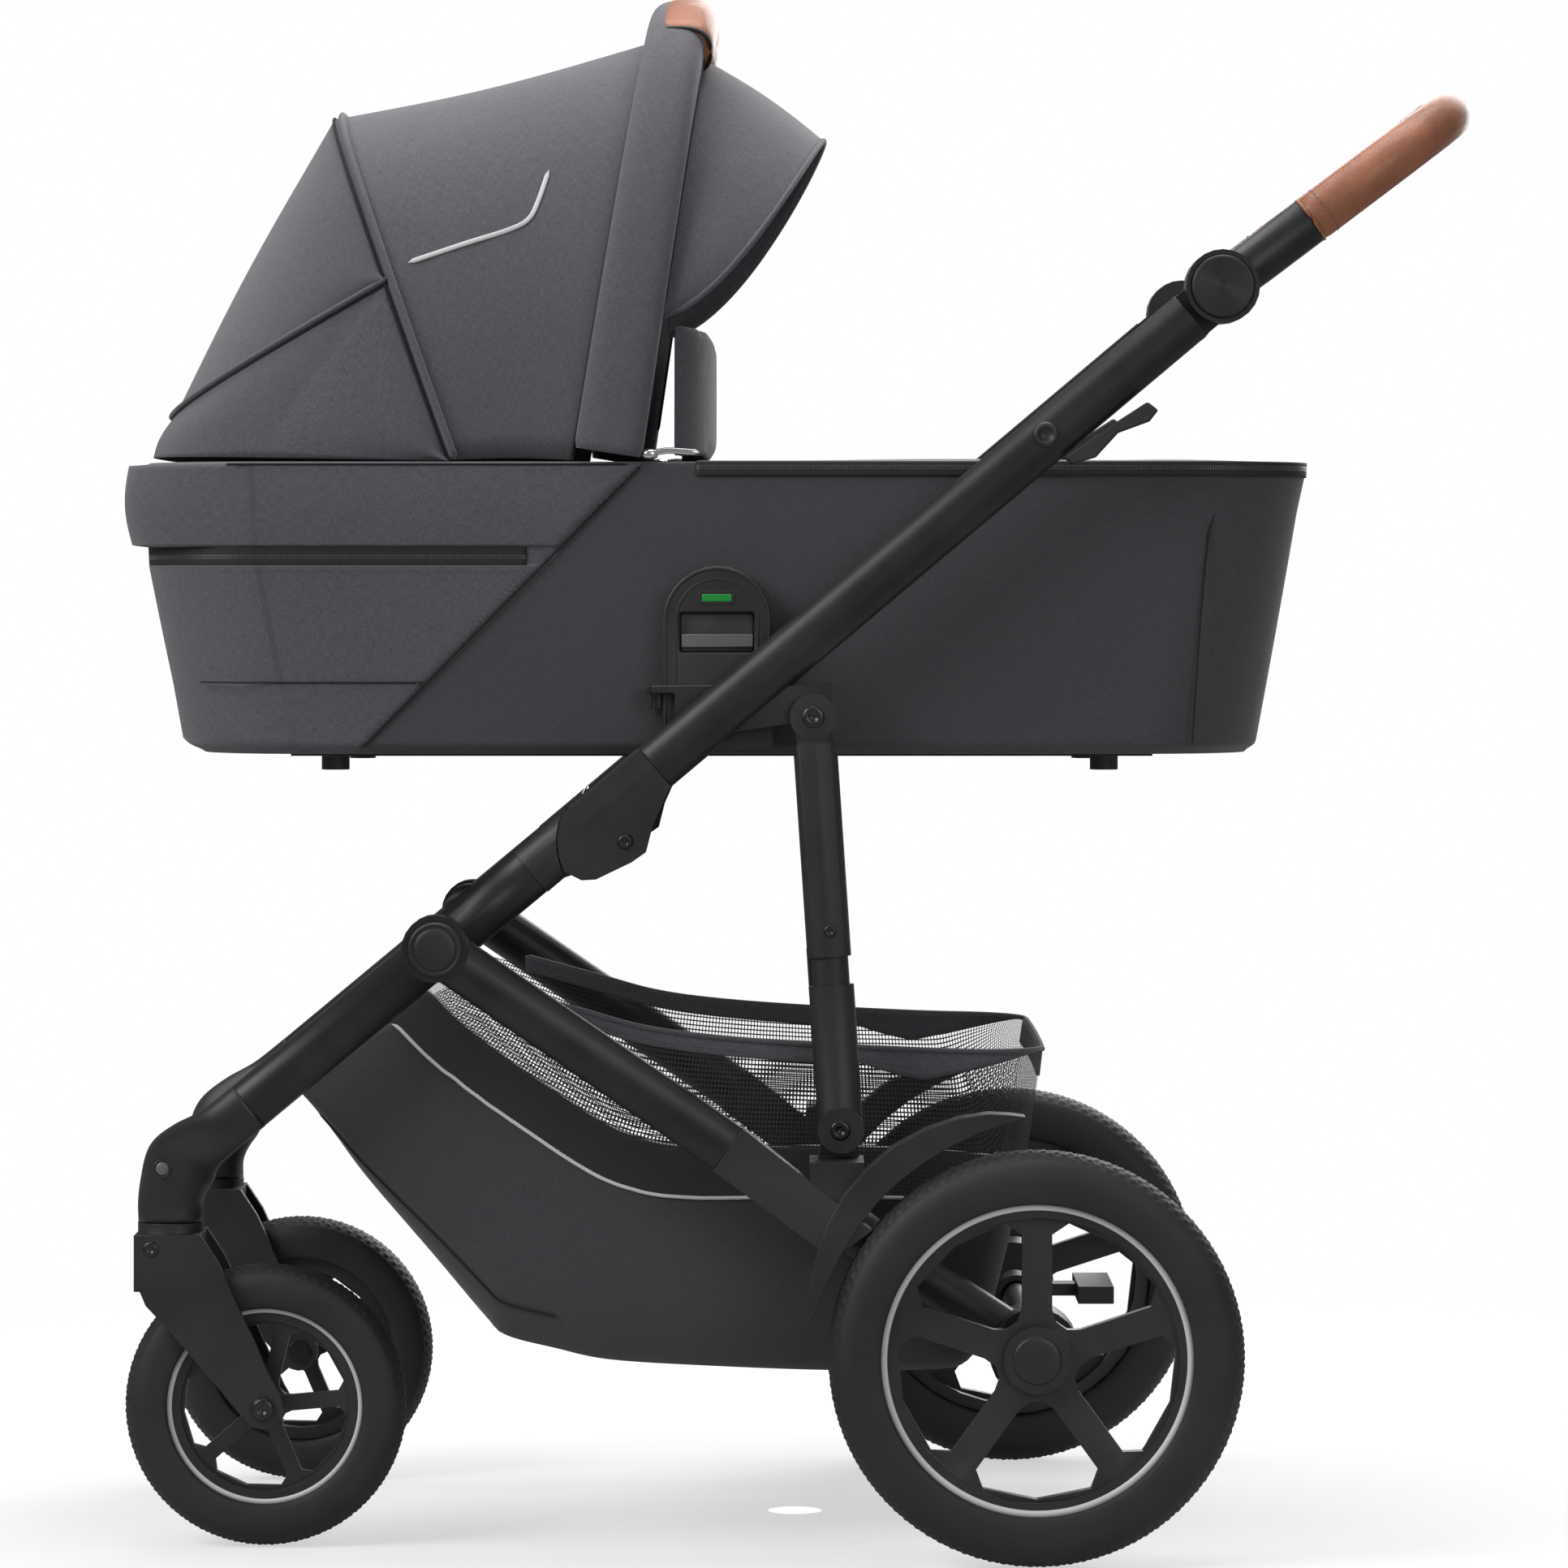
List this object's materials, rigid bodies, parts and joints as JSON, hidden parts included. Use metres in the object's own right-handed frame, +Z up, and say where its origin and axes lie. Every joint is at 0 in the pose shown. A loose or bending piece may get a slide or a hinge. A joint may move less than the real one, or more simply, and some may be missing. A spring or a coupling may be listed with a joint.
{
  "type": "baby stroller",
  "caption": "Folding four-wheeled baby stroller with a carrycot, folding hood, swivelling front wheels, tilting handle and a basket under the seat.",
  "frame": {"origin": "on the floor, at the middle of the stroller's outline", "axes": "+X from the front wheels towards the handle, +Y from the side that shows towards the far side, +Z up"},
  "size_m": [0.9614, 0.598, 1.116],
  "materials": {
    "black_aluminium": "satin",
    "black_plastic": "matte",
    "grey_plastic": "matte",
    "steel": "satin",
    "rubber": "matte",
    "fabric": "woven",
    "mattress_fabric": "soft",
    "leather": "smooth"
  },
  "bodies": {
    "front_frame": {"front_tube_near": "black_aluminium", "front_tube_far": "black_aluminium", "fold_eye_near": "black_aluminium", "fold_eye_far": "black_aluminium", "front_knuckle_near": "black_plastic", "front_knuckle_far": "black_plastic", "front_cross_bar": "black_aluminium", "basket": "fabric"},
    "upper_frame": {"fold_housing_near": "black_plastic", "fold_housing_far": "black_plastic", "upper_tube_near": "black_aluminium", "upper_tube_far": "black_aluminium", "cot_receiver_near": "black_plastic", "cot_receiver_far": "black_plastic"},
    "rear_frame": {"rear_leg_near": "black_aluminium", "rear_leg_far": "black_aluminium", "leg_pivot_cap_near": "black_plastic", "leg_pivot_cap_far": "black_plastic", "leg_casting_near": "black_plastic", "leg_casting_far": "black_plastic", "suspension_arm_near": "steel", "suspension_arm_far": "steel", "rear_axle": "black_aluminium"},
    "struts": {"strut_upper_near": "black_plastic", "strut_upper_far": "black_plastic", "strut_lower_near": "black_plastic", "strut_lower_far": "black_plastic"},
    "cot": {"cot_tub": "fabric", "cot_base": "black_plastic", "mattress": "mattress_fabric", "apron": "fabric", "hood_canopy": "fabric", "cot_dock_near": "black_plastic", "cot_dock_far": "black_plastic"},
    "hood": {"hood_arch": "fabric", "carry_grip": "leather", "hood_visor": "fabric"},
    "handle": {"handle_bar": "black_aluminium", "handle_grip": "leather"},
    "pedal": {"brake_pedal": "black_plastic"},
    "caster_near": {"caster_fork_near": "black_plastic", "front_axle_bolt_near": "steel"},
    "front_wheel_near": {"front_rim_near": "black_plastic", "front_tyre_near": "rubber"},
    "rear_wheel_near": {"rear_rim_near": "black_plastic", "rear_tyre_near": "rubber"},
    "tilt_button_near": {"tilt_button_near": "black_plastic"},
    "release_near": {"release_lever_near": "black_plastic"},
    "dock_latch_near": {"dock_latch_near": "grey_plastic"},
    "swivel_lock_near": {"swivel_lock_button_near": "grey_plastic"},
    "caster_far": {"caster_fork_far": "black_plastic", "front_axle_bolt_far": "steel"},
    "front_wheel_far": {"front_rim_far": "black_plastic", "front_tyre_far": "rubber"},
    "rear_wheel_far": {"rear_rim_far": "black_plastic", "rear_tyre_far": "rubber"},
    "tilt_button_far": {"tilt_button_far": "black_plastic"},
    "release_far": {"release_lever_far": "black_plastic"},
    "dock_latch_far": {"dock_latch_far": "grey_plastic"},
    "swivel_lock_far": {"swivel_lock_button_far": "grey_plastic"}
  },
  "joints": [
    {"name": "frame_fold", "type": "hinge", "parent": "front_frame", "child": "upper_frame", "pos_m": [-0.118, 0, 0.504], "axis": [0, -1, 0], "range_deg": [-155, 0]},
    {"name": "rear_fold", "type": "hinge", "parent": "front_frame", "child": "rear_frame", "pos_m": [-0.251, 0, 0.43], "axis": [0, -1, 0], "range_deg": [-92.3, 0]},
    {"name": "strut_swing", "type": "hinge", "parent": "upper_frame", "child": "struts", "pos_m": [0.0125, 0, 0.591], "axis": [0, -1, 0], "range_deg": [0, 110]},
    {"name": "cot_lift", "type": "slide", "parent": "front_frame", "child": "cot", "axis": [0, 0, 1], "range_m": [0, 0.352]},
    {"name": "hood_fold", "type": "hinge", "parent": "cot", "child": "hood", "pos_m": [-0.135, 0, 0.7945], "axis": [0, -1, 0], "range_deg": [0, 62], "deforming": ["hood_canopy"]},
    {"name": "handle_tilt", "type": "hinge", "parent": "upper_frame", "child": "handle", "pos_m": [0.2995, 0, 0.893], "axis": [0, 1, 0], "range_deg": [-35, 35]},
    {"name": "pedal_press", "type": "hinge", "parent": "rear_frame", "child": "pedal", "pos_m": [0.168, 0, 0.145], "axis": [0, 1, 0], "range_deg": [0, 15], "stiffness_Nm_per_rad": 3, "springref_deg": -11.46},
    {"name": "caster_swivel_near", "type": "hinge", "parent": "front_frame", "child": "caster_near", "pos_m": [-0.445, -0.171, 0.2305], "axis": [0, 0, 1], "continuous": true},
    {"name": "front_spin_near", "type": "hinge", "parent": "caster_near", "child": "front_wheel_near", "pos_m": [-0.377, -0.171, 0.1], "axis": [0, 1, 0], "continuous": true},
    {"name": "rear_spin_near", "type": "hinge", "parent": "rear_frame", "child": "rear_wheel_near", "pos_m": [0.168, -0.275, 0.145], "axis": [0, 1, 0], "continuous": true},
    {"name": "tilt_press_near", "type": "slide", "parent": "handle", "child": "tilt_button_near", "axis": [0, 1, 0], "range_m": [0, 0.003], "stiffness_N_per_m": 600, "springref_m": -0.002},
    {"name": "latch_slide_near", "type": "slide", "parent": "cot", "child": "dock_latch_near", "axis": [0, 0, 1], "range_m": [0, 0.006], "stiffness_N_per_m": 400, "springref_m": -0.004},
    {"name": "lock_press_near", "type": "slide", "parent": "front_frame", "child": "swivel_lock_near", "axis": [0, 1, 0], "range_m": [0, 0.0015], "stiffness_N_per_m": 600, "springref_m": -0.001},
    {"name": "caster_swivel_far", "type": "hinge", "parent": "front_frame", "child": "caster_far", "pos_m": [-0.445, 0.171, 0.2305], "axis": [0, 0, -1], "continuous": true},
    {"name": "front_spin_far", "type": "hinge", "parent": "caster_far", "child": "front_wheel_far", "pos_m": [-0.377, 0.171, 0.1], "axis": [0, 1, 0], "continuous": true},
    {"name": "rear_spin_far", "type": "hinge", "parent": "rear_frame", "child": "rear_wheel_far", "pos_m": [0.168, 0.275, 0.145], "axis": [0, 1, 0], "continuous": true},
    {"name": "tilt_press_far", "type": "slide", "parent": "handle", "child": "tilt_button_far", "axis": [0, -1, 0], "range_m": [0, 0.003], "stiffness_N_per_m": 600, "springref_m": -0.002},
    {"name": "latch_slide_far", "type": "slide", "parent": "cot", "child": "dock_latch_far", "axis": [0, 0, 1], "range_m": [0, 0.006], "stiffness_N_per_m": 400, "springref_m": -0.004},
    {"name": "lock_press_far", "type": "slide", "parent": "front_frame", "child": "swivel_lock_far", "axis": [0, -1, 0], "range_m": [0, 0.0015], "stiffness_N_per_m": 600, "springref_m": -0.001},
    {"name": "release_pull_near", "type": "hinge", "parent": "upper_frame", "child": "release_near", "pos_m": [0.19271, 0, 0.77158], "axis": [0, -1, 0], "range_deg": [0, 5], "stiffness_Nm_per_rad": 1.5, "springref_deg": -8.59},
    {"name": "release_pull_far", "type": "hinge", "parent": "upper_frame", "child": "release_far", "pos_m": [0.19271, 0, 0.77158], "axis": [0, -1, 0], "range_deg": [0, 5], "stiffness_Nm_per_rad": 1.5, "springref_deg": -8.59}
  ],
  "couplings": [
    {"joint": "rear_fold", "follows": "frame_fold", "ratio": 0.595},
    {"joint": "strut_swing", "follows": "frame_fold", "ratio": -0.709},
    {"joint": "cot_lift", "follows": "frame_fold", "m_per_rad": -0.1294}
  ]
}
